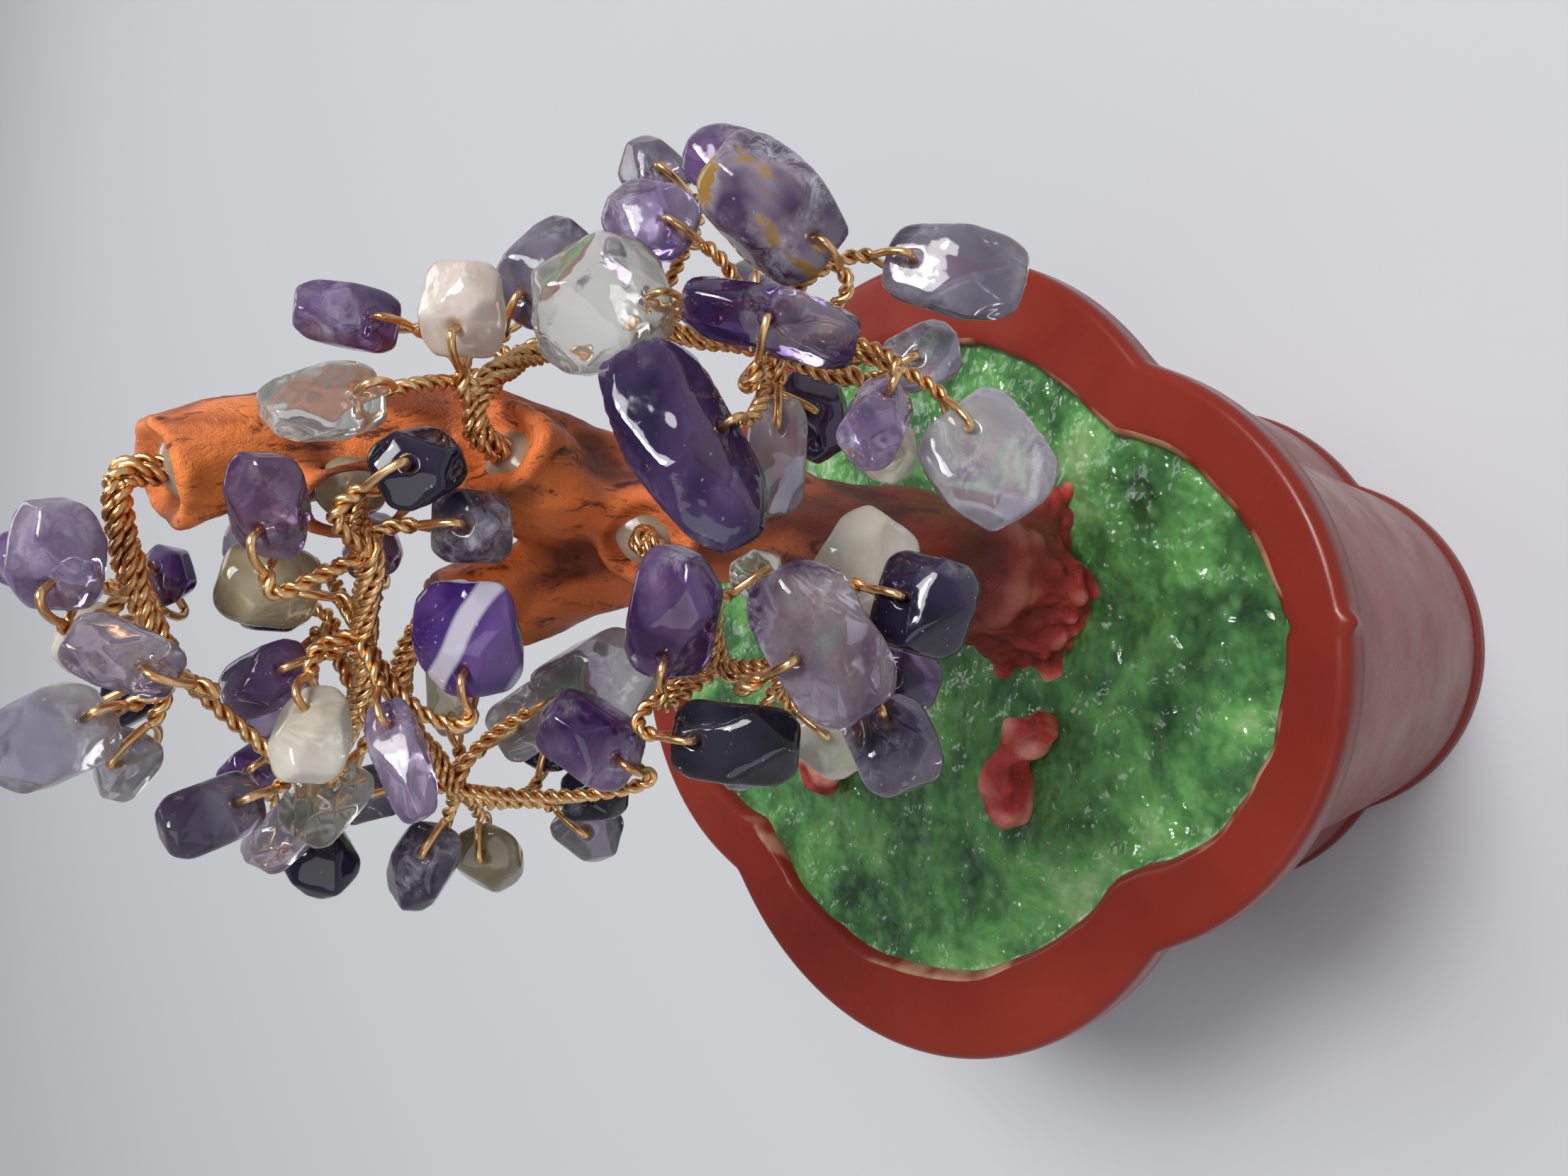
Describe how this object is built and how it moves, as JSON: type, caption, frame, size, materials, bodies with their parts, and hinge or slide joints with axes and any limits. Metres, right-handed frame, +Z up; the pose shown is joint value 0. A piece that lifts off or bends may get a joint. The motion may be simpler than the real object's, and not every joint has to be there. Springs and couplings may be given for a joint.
{
  "type": "gemstone tree ornament",
  "caption": "Gem tree in a lobed lacquer pot: a cast trunk with branches of twisted copper wire, each twig ending in a loop through a drilled tumbled chip.",
  "frame": {"origin": "centre of the pot's foot, on the surface that it stands on", "axes": "+Z up, -Y towards the front, +X to the front's right"},
  "size_m": [0.1, 0.112, 0.1767],
  "materials": {
    "pot_lacquer": "semi-gloss lacquer",
    "filling_mortar": "hidden cast filling",
    "green_resin": "glossy mottled resin",
    "trunk_resin": "glossy painted casting",
    "clear_glue": "hardened glue",
    "copper_wire": "bare drawn wire",
    "mixed_gems": "tumbled, mixed tints",
    "violet_amethyst": "tumbled gloss",
    "black_stone": "tumbled gloss",
    "lavender_clear": "tumbled gloss",
    "milky_quartz": "tumbled gloss",
    "indigo_stone": "tumbled gloss",
    "smoky_stone": "tumbled gloss",
    "clear_quartz": "tumbled gloss",
    "slate_purple": "tumbled gloss",
    "dark_purple": "tumbled gloss",
    "light_purple": "tumbled gloss",
    "peach_quartz": "tumbled gloss",
    "grey_white": "tumbled gloss",
    "olive_stone": "tumbled gloss"
  },
  "bodies": {
    "pot_and_trunk": {"pot": "pot_lacquer", "pot_filling": "filling_mortar", "green_ground": "green_resin", "trunk": "trunk_resin", "root_spur_left": "trunk_resin", "root_spur_rear": "trunk_resin", "front_glue_plug": "clear_glue", "front_rope_end": "copper_wire", "right_glue_plug": "clear_glue", "right_rope_end": "copper_wire", "left_glue_plug": "clear_glue", "left_rope_end": "copper_wire", "middle_glue_plug": "clear_glue", "middle_rope_end": "copper_wire", "top_glue_plug": "clear_glue", "top_rope_end": "copper_wire"},
    "front_branch": {"front_branch_wire": "copper_wire", "front_inner_chips": "mixed_gems"},
    "front_violet_chip": {"front_violet_chip": "violet_amethyst"},
    "front_black_chip": {"front_black_chip": "black_stone"},
    "front_lavender_chip": {"front_lavender_chip": "lavender_clear"},
    "front_white_chip": {"front_white_chip": "milky_quartz"},
    "front_indigo_cube": {"front_indigo_cube": "indigo_stone"},
    "front_smoky_chip": {"front_smoky_chip": "smoky_stone"},
    "right_branch": {"right_branch_wire": "copper_wire", "right_inner_chips": "mixed_gems"},
    "right_clear_slab": {"right_clear_slab": "clear_quartz"},
    "right_slate_chip": {"right_slate_chip": "slate_purple"},
    "right_flat_chip": {"right_flat_chip": "dark_purple"},
    "right_matrix_chip": {"right_matrix_chip": "slate_purple"},
    "right_crystal": {"right_crystal": "lavender_clear"},
    "right_large_chip": {"right_large_chip": "dark_purple"},
    "right_small_chip": {"right_small_chip": "light_purple"},
    "right_milky_chip": {"right_milky_chip": "milky_quartz"},
    "right_bent_chip": {"right_bent_chip": "slate_purple"},
    "right_teardrop_chip": {"right_teardrop_chip": "clear_quartz"},
    "right_quartz_chip": {"right_quartz_chip": "peach_quartz"},
    "left_branch": {"left_branch_wire": "copper_wire", "left_inner_chips": "mixed_gems"},
    "left_purple_chip": {"left_purple_chip": "violet_amethyst"},
    "left_grey_chip": {"left_grey_chip": "grey_white"},
    "left_olive_chip": {"left_olive_chip": "olive_stone"},
    "left_round_chip": {"left_round_chip": "smoky_stone"},
    "middle_branch": {"middle_branch_wire": "copper_wire", "middle_inner_chips": "mixed_gems"},
    "middle_white_chip": {"middle_white_chip": "milky_quartz"},
    "middle_crescent_chip": {"middle_crescent_chip": "light_purple"},
    "middle_dark_chip": {"middle_dark_chip": "black_stone"},
    "middle_olive_bead": {"middle_olive_bead": "olive_stone"},
    "middle_rose_chip": {"middle_rose_chip": "light_purple"},
    "middle_stub_chip": {"middle_stub_chip": "slate_purple"},
    "middle_banded_chip": {"middle_banded_chip": "light_purple"},
    "top_branch": {"top_branch_wire": "copper_wire", "top_inner_chips": "mixed_gems"},
    "top_pale_chip": {"top_pale_chip": "clear_quartz"},
    "top_lilac_chip": {"top_lilac_chip": "lavender_clear"},
    "top_tip_chip": {"top_tip_chip": "violet_amethyst"},
    "top_square_chip": {"top_square_chip": "lavender_clear"},
    "top_hanging_chip": {"top_hanging_chip": "slate_purple"}
  },
  "joints": [
    {"name": "front_bend", "type": "hinge", "parent": "pot_and_trunk", "child": "front_branch", "pos_m": [0.01075, -0.0233, 0.13005], "axis": [-0.7014, 0.7127, 0], "range_deg": [-3, 10]},
    {"name": "front_violet_chip_rock", "type": "hinge", "parent": "front_branch", "child": "front_violet_chip", "pos_m": [0.0015, -0.03, 0.133], "axis": [-0.3591, -0.6374, 0.6817], "range_deg": [-12, 20]},
    {"name": "front_black_chip_rock", "type": "hinge", "parent": "front_branch", "child": "front_black_chip", "pos_m": [-0.0055, -0.0305, 0.1305], "axis": [0.005, -0.7075, 0.7067], "range_deg": [-20, 4]},
    {"name": "front_lavender_chip_rock", "type": "hinge", "parent": "front_branch", "child": "front_lavender_chip", "pos_m": [0.001, -0.039, 0.1275], "axis": [-0.0217, -0.7159, 0.6978], "range_deg": [-20, 14]},
    {"name": "front_white_chip_rock", "type": "hinge", "parent": "front_branch", "child": "front_white_chip", "pos_m": [0.0055, -0.0325, 0.1165], "axis": [-0.0234, -0.7299, 0.6831], "range_deg": [-20, 20]},
    {"name": "front_indigo_cube_rock", "type": "hinge", "parent": "front_branch", "child": "front_indigo_cube", "pos_m": [0.0055, -0.041, 0.118], "axis": [0.0138, -0.71, 0.7041], "range_deg": [-15, 20]},
    {"name": "front_smoky_chip_rock", "type": "hinge", "parent": "front_branch", "child": "front_smoky_chip", "pos_m": [-0.0045, -0.039, 0.118], "axis": [0.2166, -0.6658, 0.714], "range_deg": [-20, 20]},
    {"name": "right_bend", "type": "hinge", "parent": "pot_and_trunk", "child": "right_branch", "pos_m": [0.01735, -0.02085, 0.14237], "axis": [-0.685, -0.7286, 0], "range_deg": [-4, 2]},
    {"name": "right_clear_slab_rock", "type": "hinge", "parent": "right_branch", "child": "right_clear_slab", "pos_m": [0.0295, -0.027, 0.133], "axis": [0.0458, -0.9462, 0.3205], "range_deg": [-10, 20]},
    {"name": "right_slate_chip_rock", "type": "hinge", "parent": "right_branch", "child": "right_slate_chip", "pos_m": [0.0315, -0.015, 0.1365], "axis": [0.0415, -0.7577, 0.6512], "range_deg": [-20, 20]},
    {"name": "right_flat_chip_rock", "type": "hinge", "parent": "right_branch", "child": "right_flat_chip", "pos_m": [0.0405, -0.0315, 0.1225], "axis": [0.083, -0.6102, 0.7879], "range_deg": [-20, 8]},
    {"name": "right_matrix_chip_rock", "type": "hinge", "parent": "right_branch", "child": "right_matrix_chip", "pos_m": [0.0335, -0.038, 0.125], "axis": [-0.1633, -0.8484, 0.5036], "range_deg": [-20, 12]},
    {"name": "right_crystal_rock", "type": "hinge", "parent": "right_branch", "child": "right_crystal", "pos_m": [0.0265, -0.037, 0.1285], "axis": [0.0917, -0.7543, 0.6501], "range_deg": [-12, 20]},
    {"name": "right_large_chip_rock", "type": "hinge", "parent": "right_branch", "child": "right_large_chip", "pos_m": [0.0175, -0.036, 0.1335], "axis": [0.2561, -0.9417, 0.2184], "range_deg": [-14, 20]},
    {"name": "right_small_chip_rock", "type": "hinge", "parent": "right_branch", "child": "right_small_chip", "pos_m": [0.0205, -0.0425, 0.1215], "axis": [0.4291, -0.7885, 0.4407], "range_deg": [-20, 20]},
    {"name": "right_milky_chip_rock", "type": "hinge", "parent": "right_branch", "child": "right_milky_chip", "pos_m": [0.019, -0.044, 0.1135], "axis": [-0.093, -0.7811, 0.6175], "range_deg": [-20, 20]},
    {"name": "right_bent_chip_rock", "type": "hinge", "parent": "right_branch", "child": "right_bent_chip", "pos_m": [0.0325, -0.0415, 0.117], "axis": [0.0096, -0.7084, 0.7057], "range_deg": [-20, 20]},
    {"name": "right_teardrop_chip_rock", "type": "hinge", "parent": "right_branch", "child": "right_teardrop_chip", "pos_m": [0.0195, -0.024, 0.156], "axis": [0.2508, -0.9648, 0.0792], "range_deg": [-20, 5]},
    {"name": "right_quartz_chip_rock", "type": "hinge", "parent": "right_branch", "child": "right_quartz_chip", "pos_m": [0.0255, -0.025, 0.148], "axis": [-0.2317, -0.7106, 0.6643], "range_deg": [-20, 20]},
    {"name": "left_bend", "type": "hinge", "parent": "pot_and_trunk", "child": "left_branch", "pos_m": [0.00415, -0.01185, 0.14192], "axis": [0.3156, 0.9489, 0], "range_deg": [-2, 5]},
    {"name": "left_purple_chip_rock", "type": "hinge", "parent": "left_branch", "child": "left_purple_chip", "pos_m": [-0.007, -0.022, 0.1325], "axis": [-0.2283, -0.9013, 0.368], "range_deg": [-20, 20]},
    {"name": "left_grey_chip_rock", "type": "hinge", "parent": "left_branch", "child": "left_grey_chip", "pos_m": [-0.0025, -0.0155, 0.133], "axis": [0.0099, -0.7564, 0.654], "range_deg": [-20, 5]},
    {"name": "left_olive_chip_rock", "type": "hinge", "parent": "left_branch", "child": "left_olive_chip", "pos_m": [-0.017, 0, 0.132], "axis": [-0.5763, -0.6192, 0.5334], "range_deg": [-20, 20]},
    {"name": "left_round_chip_rock", "type": "hinge", "parent": "left_branch", "child": "left_round_chip", "pos_m": [-0.016, -0.003, 0.139], "axis": [-0.3228, -0.5578, 0.7646], "range_deg": [-20, 20]},
    {"name": "middle_bend", "type": "hinge", "parent": "pot_and_trunk", "child": "middle_branch", "pos_m": [0.0128, -0.01728, 0.15285], "axis": [0.4767, 0.8791, 0], "range_deg": [-2, 4]},
    {"name": "middle_white_chip_rock", "type": "hinge", "parent": "middle_branch", "child": "middle_white_chip", "pos_m": [-0.003, -0.016, 0.1555], "axis": [0.49, -0.5687, 0.6606], "range_deg": [-20, 10]},
    {"name": "middle_crescent_chip_rock", "type": "hinge", "parent": "middle_branch", "child": "middle_crescent_chip", "pos_m": [-0.004, -0.019, 0.1505], "axis": [0.2166, -0.6658, 0.714], "range_deg": [-20, 20]},
    {"name": "middle_dark_chip_rock", "type": "hinge", "parent": "middle_branch", "child": "middle_dark_chip", "pos_m": [-0.0155, 0.006, 0.147], "axis": [-0.2754, -0.8188, 0.5037], "range_deg": [-20, 20]},
    {"name": "middle_olive_bead_rock", "type": "hinge", "parent": "middle_branch", "child": "middle_olive_bead", "pos_m": [0.0065, -0.012, 0.1555], "axis": [-0.0881, -0.9444, 0.3168], "range_deg": [-10, 20]},
    {"name": "middle_rose_chip_rock", "type": "hinge", "parent": "middle_branch", "child": "middle_rose_chip", "pos_m": [0.0105, -0.0205, 0.1605], "axis": [-0.3005, -0.6778, 0.671], "range_deg": [-12, 4]},
    {"name": "middle_stub_chip_rock", "type": "hinge", "parent": "middle_branch", "child": "middle_stub_chip", "pos_m": [0.011, -0.023, 0.147], "axis": [0, -0.9138, 0.4061], "range_deg": [-10, 20]},
    {"name": "middle_banded_chip_rock", "type": "hinge", "parent": "middle_branch", "child": "middle_banded_chip", "pos_m": [0.0003, -0.0215, 0.1455], "axis": [-0.155, -0.7331, 0.6622], "range_deg": [-8, 8]},
    {"name": "top_bend", "type": "hinge", "parent": "pot_and_trunk", "child": "top_branch", "pos_m": [0.0147, -0.0125, 0.16495], "axis": [0.1849, 0.9828, 0], "range_deg": [-2, 8]},
    {"name": "top_pale_chip_rock", "type": "hinge", "parent": "top_branch", "child": "top_pale_chip", "pos_m": [-0.003, -0.012, 0.17], "axis": [0.3179, -0.9481, 0.0006], "range_deg": [-20, 20]},
    {"name": "top_lilac_chip_rock", "type": "hinge", "parent": "top_branch", "child": "top_lilac_chip", "pos_m": [0.001, -0.0165, 0.167], "axis": [-0.153, -0.9071, 0.3922], "range_deg": [-20, 20]},
    {"name": "top_tip_chip_rock", "type": "hinge", "parent": "top_branch", "child": "top_tip_chip", "pos_m": [0.008, -0.007, 0.1715], "axis": [-0.0516, -0.838, 0.5431], "range_deg": [-20, 20]},
    {"name": "top_square_chip_rock", "type": "hinge", "parent": "top_branch", "child": "top_square_chip", "pos_m": [0.007, -0.0125, 0.1715], "axis": [-0.3672, -0.6748, 0.6402], "range_deg": [-20, 20]},
    {"name": "top_hanging_chip_rock", "type": "hinge", "parent": "top_branch", "child": "top_hanging_chip", "pos_m": [-0.0095, -0.013, 0.16], "axis": [0.2508, -0.9648, 0.0792], "range_deg": [-20, 20]}
  ]
}
